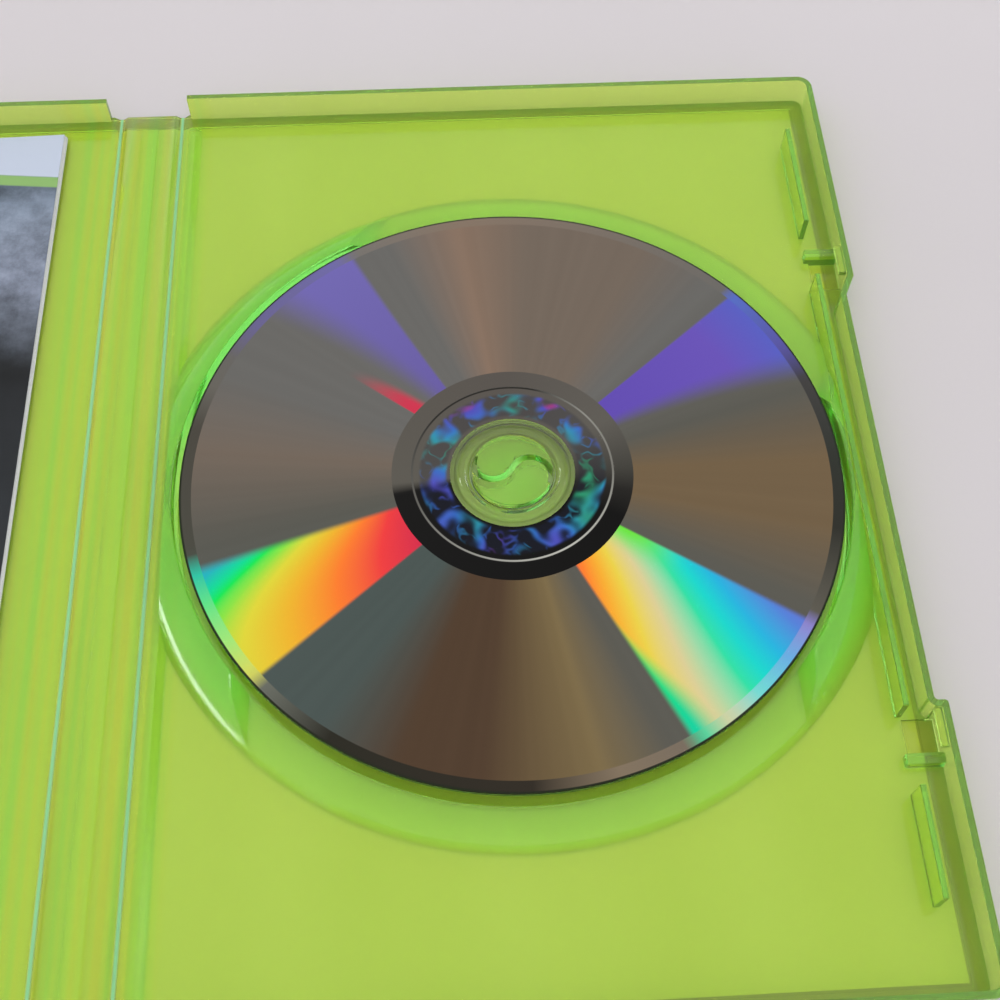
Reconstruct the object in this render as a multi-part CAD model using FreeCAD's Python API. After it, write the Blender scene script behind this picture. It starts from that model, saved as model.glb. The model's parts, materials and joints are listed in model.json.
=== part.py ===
import FreeCAD, Part
import math
import os

# A game disc case lying open: tray half, spine and cover half of one hinged moulding, with the disc on
# its hub, a booklet, a paper insert and a clear sleeve. Millimetres. X runs across the open case, with
# the tray at +X and the cover at -X. Y runs along the spine. Z is up from the table, and the origin is
# on the table under the middle of the spine.

# Disc
DISC_DIAMETER = 120.0
DISC_HOLE_DIAMETER = 15.0
DISC_THICKNESS = 1.2
DISC_CHAMFER = 0.15
STACK_RING_DIAMETER = 36.4
STACK_RING_WIDTH = 0.7
STACK_RING_HEIGHT = 0.15
STACK_RING_FLANK = 0.2

# Sleeve film and paper insert, under the moulding
FILM_THICKNESS = 0.1
FILM_INSET = 0.3
PAPER_THICKNESS = 0.2
INSERT_OPENING_MARGIN = 4.0
INSERT_END_MARGIN = 3.5
INSERT_CLEARANCE = 0.4

# Moulding of the case
CASE_HEIGHT = 190.0
SPINE_WIDTH = 13.0
HINGE_MARGIN = 5.8
OPENING_MARGIN = 9.4
FLOOR_THICKNESS = 1.0
WALL_THICKNESS = 1.2
WALL_START = 2.0
TRAY_DEPTH = 7.2
MATING_GAP = 0.2
CORNER_RADIUS = 3.0

# Living hinges
WEB_THICKNESS = 0.3
WEB_HALF_WIDTH = 0.5
GROOVE_RUN = 1.0
SPINE_STRIP_WIDTH = 3.6
SPINE_STRIP_HEIGHT = 0.3
SPINE_STRIP_CHAMFER = 0.25
SPINE_STRIP_END = 4.0

# Low rail on the tray beside its hinge
RAIL_START = 1.7
RAIL_WIDTH = 1.7
RAIL_HEIGHT = 1.3
RAIL_STEEP_RUN = 0.4
RAIL_EASY_RUN = 1.2
RAIL_END_MARGIN = 5.0

# Thumb notch in the tray's opening edge, which lies off the middle with the catches beside it
EDGE_SHIFT = -3.4
NOTCH_LENGTH = 88.6
NOTCH_DEPTH = 2.2
NOTCH_LEAD = 4.5
NOTCH_ROUND = 0.7

# Dam round the disc, with finger scoops at both ends of the case
DISC_CLEARANCE = 1.0
DAM_HEIGHT = 4.7
DAM_DRAFT = 0.25
DAM_CREST_RADIUS = 0.8
DAM_CREST_FLAT = 0.5
DAM_BASE_WIDTH = 7.5
DAM_BULGE = 0.5
DAM_TRIM = 3.3
SCOOP_WIDTH = 93.0
SCOOP_SLOPE_RUN = 3.0
SCOOP_SILL = 1.3
FAR_SCOOP_TURN_DEG = -25.0

# Hub platform and its two sprung tongues
SEAT_HEIGHT = 3.3
SEAT_RADIUS = 16.0
HUB_WALL = 1.0
HUB_DRAFT = 0.5
HUB_TURN_DEG = -25.0
TONGUE_CLEARANCE = 0.2
TONGUE_SLOT = 0.6
TONGUE_GAP = 1.1
TONGUE_RIM = 0.8
TONGUE_CROWN = 0.8
ROOT_WIDTH = 4.0
ROOT_CHORD = 0.3
ROOT_RELIEF = 0.1
LIP_OVERHANG = 0.2
LIP_HEIGHT = 0.6
LIP_LIFT = 0.1
LIP_LENGTH = 7.0

# Inner rib and snap catches along the opening edge
RIB_CLEARANCE = 1.8
RIB_THICKNESS = 1.0
RIB_END_MARGIN = 15.0
CATCH_OFFSET = 0.7
CATCH_LENGTH = 13.5
RECESS_INSET = 0.5
RECESS_LENGTH = 6.6
RECESS_FLOOR = 0.4
CATCH_BAR_WIDTH = 1.8
CATCH_BAR_HEIGHT = 2.2
LEDGE_REACH = 1.3
LEDGE_THICKNESS = 1.0
LEDGE_DROP = 0.6
SNAP_SETBACK = 2.2
SNAP_THICKNESS = 1.2
SNAP_SIDE_CLEARANCE = 0.8
SNAP_REACH = 3.4
SNAP_HOOK = 0.5
SNAP_HOOK_HEIGHT = 1.2

# Booklet clips in the cover half
CLIP_RADIUS = 14.0
CLIP_THICKNESS = 1.0
CLIP_CLEARANCE = 0.4
CLIP_END_MARGIN = 21.0
CLIP_HOLE_CLEARANCE = 0.6

# Booklet
BOOKLET_THICKNESS = 1.2
BOOKLET_HINGE_MARGIN = 11.3
BOOKLET_OPENING_MARGIN = 6.0
BOOKLET_END_MARGIN = 4.8
BOOKLET_CREEP = 0.5
BOOKLET_TURN_DEG = -0.5
STAPLE_WIRE = 0.6
STAPLE_LENGTH = 12.0
STAPLE_OFFSET = 45.0

# Levels and places worked out from the sizes above
EPS = 0.01
BOND = FLOOR_THICKNESS / 2
disc_radius = DISC_DIAMETER / 2
hole_radius = DISC_HOLE_DIAMETER / 2
panel_width = HINGE_MARGIN + DISC_DIAMETER + OPENING_MARGIN
disc_u = HINGE_MARGIN + disc_radius
half_height = CASE_HEIGHT / 2
wall_inner = panel_width - WALL_THICKNESS
floor_bottom = FILM_THICKNESS + PAPER_THICKNESS
floor_top = floor_bottom + FLOOR_THICKNESS
hinge_z = floor_bottom + WEB_THICKNESS
closed_thickness = SPINE_WIDTH + 2 * hinge_z
cover_depth = closed_thickness - TRAY_DEPTH - MATING_GAP
disc_bottom = floor_top + SEAT_HEIGHT
disc_top = disc_bottom + DISC_THICKNESS
seat_bottom = disc_bottom - HUB_WALL
insert_width = panel_width - INSERT_OPENING_MARGIN
insert_half_height = half_height - INSERT_END_MARGIN
dam_inner = disc_radius + DISC_CLEARANCE
dam_outer = dam_inner + DAM_BASE_WIDTH
rib_inner = disc_u + disc_radius + RIB_CLEARANCE
rib_outer = rib_inner + RIB_THICKNESS
rib_end = half_height - RIB_END_MARGIN
catch_start = NOTCH_LENGTH / 2 + CATCH_OFFSET
catch_end = catch_start + CATCH_LENGTH
recess_start = catch_start + RECESS_INSET
recess_end = recess_start + RECESS_LENGTH
tongue_radius = hole_radius - TONGUE_CLEARANCE
root_y = tongue_radius - ROOT_CHORD
clip_bottom = floor_top + BOOKLET_THICKNESS + CLIP_CLEARANCE
clip_y = half_height - CLIP_END_MARGIN
booklet_fold = wall_inner - BOOKLET_OPENING_MARGIN

V = FreeCAD.Vector
SIDES = (-1, 1)


def block(x0, x1, y0, y1, z0, z1):
    return Part.makeBox(x1 - x0, y1 - y0, z1 - z0, V(x0, y0, z0))


def mirrored_block(u0, u1, y0, y1, z0, z1, side):
    """A block between y0 and y1 on the side given by its sign."""
    near, far = sorted((side * y0, side * y1))
    return block(u0, u1, near, far, z0, z1)


def bar_along_y(section, y0, y1):
    """A straight bar of the (x, z) section from y0 to y1."""
    points = [V(x, y0, z) for x, z in section]
    face = Part.Face(Part.makePolygon(points + points[:1]))
    return face.extrude(V(0, y1 - y0, 0))


def rounded_face(corners):
    """A flat face at z = 0 from (x, y, corner radius) corners."""
    count = len(corners)
    stretches = []
    for i, (x, y, radius) in enumerate(corners):
        corner = V(x, y, 0)
        back = V(*corners[i - 1][:2], 0) - corner
        ahead = V(*corners[(i + 1) % count][:2], 0) - corner
        back.normalize()
        ahead.normalize()
        half_turn = back.getAngle(ahead) / 2
        reach = radius / math.tan(half_turn)
        bisector = back + ahead
        bisector.normalize()
        middle = corner + bisector * (radius / math.sin(half_turn) - radius)
        stretches.append((corner + back * reach, middle, corner + ahead * reach, radius))
    edges = []
    for i, (start, middle, end, radius) in enumerate(stretches):
        if radius > 0:
            edges.append(Part.Arc(start, middle, end).toShape())
        edges.append(Part.LineSegment(end, stretches[(i + 1) % count][0]).toShape())
    return Part.Face(Part.Wire(edges))


def turned(profile_edges):
    """A solid of revolution about the Z axis from edges in the XZ plane."""
    face = Part.Face(Part.Wire(profile_edges))
    return face.revolve(V(0, 0, 0), V(0, 0, 1), 360)


def polyline(points):
    """Edges through (x, z) points in the XZ plane."""
    ends = [V(x, 0, z) for x, z in points]
    return [Part.LineSegment(a, b).toShape() for a, b in zip(ends, ends[1:])]


def closed_polyline(points):
    return polyline(points + points[:1])


def arc(start, middle, end):
    """An arc through three (x, z) points in the XZ plane."""
    return Part.Arc(*[V(x, 0, z) for x, z in (start, middle, end)]).toShape()


def at_disc(shape):
    return shape.translated(V(disc_u, 0, 0))


def off_middle(shape):
    """A piece of the opening edge, moved along it from the middle of the case."""
    return shape.translated(V(0, EDGE_SHIFT, 0))


def to_tray(shape):
    """From panel places, measured from the hinge axis, to the tray side of the open case."""
    return shape.translated(V(SPINE_WIDTH / 2, 0, 0))


def to_cover(shape):
    return shape.mirror(V(0, 0, 0), V(1, 0, 0)).translated(V(-SPINE_WIDTH / 2, 0, 0))


def panel_outline(with_notch):
    """The flat outline of one half, with the thumb notch in the tray's opening edge."""
    corners = [(0, -half_height, 0), (panel_width, -half_height, CORNER_RADIUS)]
    if with_notch:
        notch_u = panel_width - NOTCH_DEPTH
        notch_near = EDGE_SHIFT - NOTCH_LENGTH / 2
        notch_far = EDGE_SHIFT + NOTCH_LENGTH / 2
        corners += [
            (panel_width, notch_near, NOTCH_ROUND),
            (notch_u, notch_near, NOTCH_ROUND),
            (notch_u, notch_far - NOTCH_LEAD, NOTCH_ROUND),
            (panel_width, notch_far, NOTCH_ROUND),
        ]
    corners += [(panel_width, half_height, CORNER_RADIUS), (0, half_height, 0)]
    return rounded_face(corners)


def raised(face, z0, z1):
    return face.translated(V(0, 0, z0)).extrude(V(0, 0, z1 - z0))


def half_shell(with_notch, depth):
    """Floor, hinge lip, insert pocket and the walls on three sides of one half."""
    outline = panel_outline(with_notch)
    groove_top = WEB_HALF_WIDTH + GROOVE_RUN
    floor_section = [
        (0, FILM_THICKNESS),
        (0, hinge_z),
        (WEB_HALF_WIDTH, hinge_z),
        (groove_top, floor_top),
        (panel_width, floor_top),
        (panel_width, FILM_THICKNESS),
    ]
    floor = bar_along_y(floor_section, -half_height, half_height)
    floor = floor.common(raised(outline, 0, floor_top))
    walls = raised(outline.cut(outline.makeOffset2D(-WALL_THICKNESS)), FILM_THICKNESS, depth)
    walls = walls.cut(block(-EPS, WALL_START, -CASE_HEIGHT, CASE_HEIGHT, 0, depth + EPS))
    pocket_half = insert_half_height + INSERT_CLEARANCE
    pocket = block(-EPS, insert_width + INSERT_CLEARANCE, -pocket_half, pocket_half, 0, floor_bottom)
    return floor.fuse(walls).cut(pocket)


def disc_dam():
    """The rounded dam round the disc, lowered at the finger scoops and trimmed beside the hinge."""
    top = floor_top + DAM_HEIGHT
    crest_start = dam_inner + DAM_DRAFT
    crest_middle = crest_start + DAM_CREST_RADIUS
    crest_end = crest_middle + DAM_CREST_FLAT
    bend = DAM_CREST_RADIUS * (1 - math.cos(math.pi / 4))
    slope = V(dam_outer - crest_end, 0, floor_top - top)
    slope_middle = V(crest_end, 0, top) + slope * 0.5
    slope_middle += V(-slope.z, 0, slope.x).normalize() * DAM_BULGE
    base = floor_top - BOND
    profile = polyline([(dam_inner, base), (dam_inner, floor_top), (crest_start, top - DAM_CREST_RADIUS)])
    profile.append(arc((crest_start, top - DAM_CREST_RADIUS), (crest_start + bend, top - bend),
                       (crest_middle, top)))
    profile += polyline([(crest_middle, top), (crest_end, top)])
    profile.append(arc((crest_end, top), (slope_middle.x, slope_middle.z), (dam_outer, floor_top)))
    profile += polyline([(dam_outer, floor_top), (dam_outer, base), (dam_inner, base)])
    sill = floor_top + SCOOP_SILL
    scoop_top = SCOOP_WIDTH / 2 + SCOOP_SLOPE_RUN
    scoop = bar_along_y([
        (-SCOOP_WIDTH / 2, sill),
        (SCOOP_WIDTH / 2, sill),
        (scoop_top, top + EPS),
        (-scoop_top, top + EPS),
    ], -dam_outer - EPS, 0)
    dam = turned(profile)
    for turn_deg in (0, 180 + FAR_SCOOP_TURN_DEG):
        dam = dam.cut(scoop.rotated(V(0, 0, 0), V(0, 0, 1), turn_deg))
    return at_disc(dam).common(block(DAM_TRIM, rib_outer, -dam_outer, dam_outer, 0, top))


def hub_platform():
    """The raised seat under the disc, open in the middle for the tongues, with their two roots."""
    opening = tongue_radius + TONGUE_SLOT
    base = floor_top - BOND
    inner = SEAT_RADIUS - HUB_WALL
    platform = turned(closed_polyline([
        (SEAT_RADIUS + HUB_DRAFT, base),
        (SEAT_RADIUS, disc_bottom),
        (opening, disc_bottom),
        (opening, seat_bottom),
        (inner, seat_bottom),
        (inner + HUB_DRAFT, base),
    ]))
    for side in SIDES:
        root = mirrored_block(-ROOT_WIDTH / 2, ROOT_WIDTH / 2, root_y, opening + HUB_WALL,
                              seat_bottom, disc_bottom, side)
        platform = platform.fuse(root)
    return at_disc(platform.rotated(V(0, 0, 0), V(0, 0, 1), HUB_TURN_DEG))


def tongue(turn_deg):
    """One comma-shaped half of the hub button, rooted at +Y before it is turned about the hub."""
    rim = disc_top + TONGUE_RIM
    crown = rim + TONGUE_CROWN
    lobe = tongue_radius / 2
    sphere = (tongue_radius ** 2 + TONGUE_CROWN ** 2) / (2 * TONGUE_CROWN)
    shoulder = crown - sphere + math.sqrt(sphere ** 2 - lobe ** 2)
    profile = polyline([(0, crown), (0, seat_bottom), (tongue_radius, seat_bottom), (tongue_radius, rim)])
    profile.append(arc((tongue_radius, rim), (lobe, shoulder), (0, crown)))
    button = turned(profile)
    reach = tongue_radius + LIP_OVERHANG + TONGUE_CLEARANCE + EPS
    tall = crown + EPS
    half = block(-reach, reach, 0, reach, 0, tall)
    head = Part.makeCylinder(lobe - TONGUE_GAP / 2, tall, V(-lobe, 0, 0))
    bay = Part.makeCylinder(lobe + TONGUE_GAP / 2, tall, V(lobe, 0, 0))
    comma = half.fuse(head).cut(bay)
    lip_bottom = disc_top + LIP_LIFT
    lip = turned(closed_polyline([
        (tongue_radius - HUB_WALL, lip_bottom),
        (hole_radius + LIP_OVERHANG, lip_bottom),
        (hole_radius + LIP_OVERHANG, lip_bottom + LIP_HEIGHT / 2),
        (tongue_radius - HUB_WALL, lip_bottom + LIP_HEIGHT),
    ]))
    lip = lip.common(block(-LIP_LENGTH / 2, LIP_LENGTH / 2, 0, reach, 0, tall))
    relief = block(-reach, reach, root_y, reach, 0, disc_bottom + ROOT_RELIEF)
    shape = button.common(comma).fuse(lip).cut(relief).removeSplitter()
    shape.rotate(V(0, 0, 0), V(0, 0, 1), turn_deg)
    return to_tray(at_disc(shape))


def opening_rib():
    """The rib inside the opening edge, broken where the catches are."""
    spans = [
        (-rib_end, EDGE_SHIFT - catch_end),
        (EDGE_SHIFT - catch_start, EDGE_SHIFT + catch_start),
        (EDGE_SHIFT + catch_end, rib_end),
    ]
    ribs = [block(rib_inner, rib_outer, y0, y1, floor_top - BOND, TRAY_DEPTH) for y0, y1 in spans]
    return ribs[0].multiFuse(ribs[1:])


def catch_recess(side):
    """The thin place in the tray floor under one catch."""
    return off_middle(mirrored_block(rib_outer, wall_inner, recess_start, recess_end,
                                     floor_bottom + RECESS_FLOOR, floor_top + EPS, side))


def catch(side):
    """The cross bar beside one recess and the ledge that the cover's snap tab hooks under."""
    bar = mirrored_block(rib_inner, wall_inner + EPS, recess_end, recess_end + CATCH_BAR_WIDTH,
                         floor_top - BOND, floor_top + CATCH_BAR_HEIGHT, side)
    ledge_top = TRAY_DEPTH - LEDGE_DROP
    ledge = mirrored_block(wall_inner - LEDGE_REACH, wall_inner + EPS, recess_start, recess_end,
                           ledge_top - LEDGE_THICKNESS, ledge_top, side)
    return off_middle(bar.fuse(ledge))


def hinge_rail():
    """The low rail along the tray's hinge, steep on the hinge's side and easy on the other."""
    section = [
        (RAIL_START, floor_top - BOND),
        (RAIL_START, floor_top),
        (RAIL_START + RAIL_STEEP_RUN, floor_top + RAIL_HEIGHT),
        (RAIL_START + RAIL_WIDTH, floor_top + RAIL_HEIGHT),
        (RAIL_START + RAIL_WIDTH + RAIL_EASY_RUN, floor_top),
        (RAIL_START + RAIL_WIDTH + RAIL_EASY_RUN, floor_top - BOND),
    ]
    end = half_height - RAIL_END_MARGIN
    return bar_along_y(section, -end, end)


def tray_half():
    shell = half_shell(True, TRAY_DEPTH)
    hub_hole = at_disc(Part.makeCylinder(SEAT_RADIUS - HUB_WALL, CASE_HEIGHT))
    shell = shell.cut(hub_hole)
    features = [disc_dam(), hub_platform(), opening_rib(), hinge_rail()]
    for side in SIDES:
        shell = shell.cut(catch_recess(side))
        features.append(catch(side))
    return to_tray(shell.multiFuse(features).removeSplitter())


def booklet_clip(side, radius, z0, z1):
    """A half-moon standing in from the cover's opening wall."""
    moon = Part.makeCylinder(radius, z1 - z0, V(wall_inner, side * clip_y, z0))
    return moon.common(block(0, wall_inner + EPS, -half_height, half_height, z0, z1))


def snap_tab(side):
    """The tab on the cover that enters one of the tray's catches when the case is shut."""
    y0 = recess_start + SNAP_SIDE_CLEARANCE
    y1 = recess_end - SNAP_SIDE_CLEARANCE
    u0 = rib_outer + SNAP_SETBACK
    u1 = u0 + SNAP_THICKNESS
    tip = cover_depth + SNAP_REACH
    section = [
        (u0, floor_top - BOND),
        (u1, floor_top - BOND),
        (u1, tip - SNAP_HOOK_HEIGHT),
        (u1 + SNAP_HOOK, tip - SNAP_HOOK_HEIGHT),
        (u1, tip),
        (u0, tip),
    ]
    near, far = sorted((side * y0, side * y1))
    return off_middle(bar_along_y(section, near, far))


def cover_half():
    shell = half_shell(False, cover_depth)
    features = []
    wall = block(wall_inner, panel_width, -half_height, half_height, 0, floor_top + EPS)
    for side in SIDES:
        hole = booklet_clip(side, CLIP_RADIUS + CLIP_HOLE_CLEARANCE, 0, floor_top + EPS)
        shell = shell.cut(hole.cut(wall))
        features.append(booklet_clip(side, CLIP_RADIUS, clip_bottom, clip_bottom + CLIP_THICKNESS))
        features.append(snap_tab(side))
    return to_cover(shell.multiFuse(features).removeSplitter())


def spine():
    """The spine between the two living hinges, with a raised strip down its middle."""
    edge = SPINE_WIDTH / 2
    shoulder = edge - WEB_HALF_WIDTH
    groove_top = shoulder - GROOVE_RUN
    section = [
        (-edge, FILM_THICKNESS),
        (-edge, hinge_z),
        (-shoulder, hinge_z),
        (-groove_top, floor_top),
        (groove_top, floor_top),
        (shoulder, hinge_z),
        (edge, hinge_z),
        (edge, FILM_THICKNESS),
    ]
    back = bar_along_y(section, -half_height, half_height)
    pocket_half = insert_half_height + INSERT_CLEARANCE
    back = back.cut(block(-edge - EPS, edge + EPS, -pocket_half, pocket_half, 0, floor_bottom))
    half_width = SPINE_STRIP_WIDTH / 2
    strip_top = floor_top + SPINE_STRIP_HEIGHT
    strip_end = half_height - SPINE_STRIP_END
    strip = bar_along_y([
        (-half_width, floor_top - BOND),
        (-half_width, floor_top),
        (SPINE_STRIP_CHAMFER - half_width, strip_top),
        (half_width - SPINE_STRIP_CHAMFER, strip_top),
        (half_width, floor_top),
        (half_width, floor_top - BOND),
    ], -strip_end, strip_end)
    return back.fuse(strip).removeSplitter()


def sleeve_panel(with_notch):
    """The clear film under one half, up to the hinge axis."""
    outline = panel_outline(with_notch).makeOffset2D(-FILM_INSET)
    film_half = half_height - FILM_INSET
    strip = block(0, CORNER_RADIUS, -film_half, film_half, 0, FILM_THICKNESS)
    return raised(outline, 0, FILM_THICKNESS).fuse(strip).removeSplitter()


def sleeve_spine():
    film_half = half_height - FILM_INSET
    return block(-SPINE_WIDTH / 2, SPINE_WIDTH / 2, -film_half, film_half, 0, FILM_THICKNESS)


def insert_panel():
    """The paper insert under one half, up to the hinge axis."""
    return block(0, insert_width, -insert_half_height, insert_half_height, FILM_THICKNESS, floor_bottom)


def insert_spine():
    return block(-SPINE_WIDTH / 2, SPINE_WIDTH / 2, -insert_half_height, insert_half_height,
                 FILM_THICKNESS, floor_bottom)


def disc():
    """The disc, data side up, with its stacking ring."""
    ring_inner = STACK_RING_DIAMETER / 2 - STACK_RING_WIDTH / 2
    ring_outer = ring_inner + STACK_RING_WIDTH
    ring_top = disc_top + STACK_RING_HEIGHT
    shape = turned(closed_polyline([
        (hole_radius + DISC_CHAMFER, disc_bottom),
        (disc_radius - DISC_CHAMFER, disc_bottom),
        (disc_radius, disc_bottom + DISC_CHAMFER),
        (disc_radius, disc_top - DISC_CHAMFER),
        (disc_radius - DISC_CHAMFER, disc_top),
        (ring_outer, disc_top),
        (ring_outer - STACK_RING_FLANK, ring_top),
        (ring_inner + STACK_RING_FLANK, ring_top),
        (ring_inner, disc_top),
        (hole_radius + DISC_CHAMFER, disc_top),
        (hole_radius, disc_top - DISC_CHAMFER),
        (hole_radius, disc_bottom + DISC_CHAMFER),
    ]))
    return to_tray(at_disc(shape))


def turned_in_cover(shape):
    """A piece of the booklet placed in the cover, lying slightly askew as it slips under the clips."""
    shape = to_cover(shape)
    middle_u = (BOOKLET_HINGE_MARGIN + booklet_fold) / 2
    shape.rotate(V(-SPINE_WIDTH / 2 - middle_u, 0, 0), V(0, 0, 1), BOOKLET_TURN_DEG)
    return shape


def staples():
    """Two wire staples on the booklet's fold, on the side of the opening edge."""
    level = floor_top + BOOKLET_THICKNESS / 2
    wires = []
    for side in SIDES:
        start = V(booklet_fold, side * STAPLE_OFFSET - STAPLE_LENGTH / 2, level)
        wires.append(Part.makeCylinder(STAPLE_WIRE / 2, STAPLE_LENGTH, start, V(0, 1, 0)))
    return Part.makeCompound(wires)


def booklet():
    """A folded and stapled booklet: round at the fold, with the inner pages creeping out opposite."""
    end = half_height - WALL_THICKNESS - BOOKLET_END_MARGIN
    radius = BOOKLET_THICKNESS / 2
    low = floor_top
    middle = floor_top + radius
    high = floor_top + BOOKLET_THICKNESS
    edge = BOOKLET_HINGE_MARGIN
    profile = polyline([(booklet_fold - radius, high), (edge + BOOKLET_CREEP, high), (edge, middle),
                        (edge + BOOKLET_CREEP, low), (booklet_fold - radius, low)])
    profile.append(arc((booklet_fold - radius, low), (booklet_fold, middle), (booklet_fold - radius, high)))
    pages = Part.Face(Part.Wire(profile)).translated(V(0, -end, 0)).extrude(V(0, 2 * end, 0))
    return pages.cut(staples())


def build():
    return {
        "tray_half": tray_half(),
        "hub_tongue_far": tongue(HUB_TURN_DEG),
        "hub_tongue_near": tongue(HUB_TURN_DEG + 180),
        "spine": spine(),
        "cover_half": cover_half(),
        "disc": disc(),
        "booklet": turned_in_cover(booklet()),
        "booklet_staples": turned_in_cover(staples()),
        "insert_back": to_tray(insert_panel()),
        "insert_spine": insert_spine(),
        "insert_front": to_cover(insert_panel()),
        "sleeve_back": to_tray(sleeve_panel(True)),
        "sleeve_spine": sleeve_spine(),
        "sleeve_front": to_cover(sleeve_panel(False)),
    }


os.makedirs("parts", exist_ok=True)
for node, shape in build().items():
    shape.exportStep(os.path.join("parts", node + ".step"))
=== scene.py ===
import json
import math

import bmesh
import bpy
from mathutils import Matrix, Vector


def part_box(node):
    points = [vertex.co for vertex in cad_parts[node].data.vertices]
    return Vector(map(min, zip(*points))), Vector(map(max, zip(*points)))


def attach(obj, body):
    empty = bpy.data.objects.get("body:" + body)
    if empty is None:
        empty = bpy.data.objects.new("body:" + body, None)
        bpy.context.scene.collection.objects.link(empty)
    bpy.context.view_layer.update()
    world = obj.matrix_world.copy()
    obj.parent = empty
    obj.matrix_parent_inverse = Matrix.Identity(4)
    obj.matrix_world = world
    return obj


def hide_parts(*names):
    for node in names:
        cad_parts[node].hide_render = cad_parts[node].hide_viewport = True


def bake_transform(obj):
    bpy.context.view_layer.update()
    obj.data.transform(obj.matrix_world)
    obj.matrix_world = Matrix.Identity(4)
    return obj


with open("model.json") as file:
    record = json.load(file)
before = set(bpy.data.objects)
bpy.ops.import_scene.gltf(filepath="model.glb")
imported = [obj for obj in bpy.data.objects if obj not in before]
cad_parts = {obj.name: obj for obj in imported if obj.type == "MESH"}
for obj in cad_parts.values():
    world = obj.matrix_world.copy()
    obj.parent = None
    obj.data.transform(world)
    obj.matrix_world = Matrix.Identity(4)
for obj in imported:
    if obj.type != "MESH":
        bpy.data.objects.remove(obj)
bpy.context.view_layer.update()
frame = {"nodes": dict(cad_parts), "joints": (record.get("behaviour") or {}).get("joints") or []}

# The looks of a game disc case lying open. Metres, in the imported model's frame.

MM = 0.001

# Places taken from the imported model
disc_low, disc_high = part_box("disc")
disc_centre = (disc_low + disc_high) / 2
disc_radius = (disc_high.x - disc_low.x) / 2
joint_places = {joint["name"]: Vector(joint["pos_m"]) for joint in frame["joints"]}
tray_hinge = joint_places["tray_spine_hinge"]
cover_hinge = joint_places["spine_cover_hinge"]

# Camera, as fitted to the photograph: its place from the middle of the disc's face, and its angles
CAMERA_FROM_DISC = Vector((-11.20, -129.21, 218.57)) * MM
CAMERA_ELEVATION = math.radians(60.491)
CAMERA_HEADING = math.radians(3.996)
CAMERA_ROLL = math.radians(1.159)
CAMERA_LENS_MM = 50.519
CAMERA_SENSOR_MM = 36.0
CAMERA_NEAREST = 10.0 * MM

# Disc
DISC_THICKNESS = 1.2 * MM
DISC_EDGE_ROUND = 0.18 * MM
HOLE_RADIUS = 7.5 * MM
HOLE_CHAMFER = 0.12 * MM
CLEAR_RADIUS = 11.35 * MM
CLEAR_SEAM = 0.01 * MM
DISC_SEGMENTS = 256
CLEAR_SEGMENTS = 192
TURNED_SHARP_ANGLE = math.radians(25)
disc_top = disc_low.z + DISC_THICKNESS
disc_hub = Vector((disc_centre.x, disc_centre.y, disc_top))

# Rings that stand on the disc's face or are sunk in it, as middle radius, width and height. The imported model
# gives the stacking ring's height.
FINE_RING = (17.3 * MM, 0.3 * MM, 0.04 * MM)
STACKING_RING = (18.2 * MM, 0.7 * MM, disc_high.z - disc_top)
CLEAR_RINGS = [(8.3 * MM, 0.8 * MM, 0.28 * MM), (10.1 * MM, 1.0 * MM, -0.34 * MM)]

# Disc radii in millimetres and the sides of its painted rainbow wedges in degrees, as its materials read them
BAND_START, BAND_END = 11.6, 17.2
RING_START, RING_END = 17.95, 18.45
DATA_START, DATA_MIDDLE, DATA_END = 21.9, 40.0, 57.8
RIM_LINE = 59.5
WARM_START, WARM_END = 196.8, 220.4
FULL_START, FULL_END = 296.9, 327.2

# Paper insert and film, a hair clear of the moulding and of each other
HAIR = 0.015 * MM
INSERT_HEIGHT = 183.0 * MM
INSERT_WIDTH = 131.2 * MM
HINGE_BEND = 1.1 * MM
BEND_STEPS = 8
FLAT_PLACE = "flat_place"
FILM_CORNER = 3.0 * MM
CORNER_STEPS = 6
NOTCH_NEAR = -47.7 * MM
NOTCH_FAR = 40.9 * MM
NOTCH_DEPTH = 2.2 * MM
NOTCH_LEAD = 4.5 * MM

# Booklet, lying slightly askew
BOOKLET_WIDTH = 116.7 * MM
BOOKLET_HEIGHT = 178.0 * MM
BOOKLET_TURN = math.radians(-0.5)
BOOKLET_CREEP = 0.5 * MM
LEAF_COUNT = 10
LEAF_SHARE = 0.86
LEAF_JITTER = 0.05 * MM
LEAF_ROWS = 8
LIFT_STEPS = 8
LIFT_START = 20.0 * MM
LIFT_HEIGHT = 0.9 * MM

# Floor
FLOOR_HALF = 3.0
FLOOR_DROP = 0.05 * MM

# Studio light: its level at the horizon and overhead, and its bright panels, each as heading and half width
# in degrees, lowest and highest sine of elevation, and strength, with the width of their soft edges
SKY_LOW, SKY_HIGH = 1.02, 1.08
SKY_PANELS = [
    (183.5, 23.0, 0.01, 0.14, 12.0),
    (155.0, 12.0, 0.01, 0.12, 10.0),
    (23.0, 14.0, 0.01, 0.12, 10.0),
]
PANEL_SOFT_DEGREES = 4.0
PANEL_SOFT_SINE = 0.03

# Stretch across the spine on which the moulding's flow marks are stripes, and how softly it starts and ends
STRIPES_START, STRIPES_END = -20.0 * MM, 14.0 * MM
STRIPES_RISE, STRIPES_FALL = 5.0 * MM, 3.0 * MM

# Half the width of the pale crease along either hinge: stress whitening and in part a painted highlight
CREASE = 0.55 * MM

# Small round edges of the moulding, and the height above which each piece has them
EDGE_ROUND = 0.14 * MM
EDGE_SEGMENTS = 2
SHARP_ANGLE = math.radians(35)
WELD_REACH = 0.002 * MM
ROUNDED_ABOVE = {
    "tray_half": 6.5 * MM,
    "hub_tongue_far": 5.0 * MM,
    "hub_tongue_near": 5.0 * MM,
    "spine": 1.0 * MM,
    "cover_half": 6.5 * MM,
}


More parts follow.
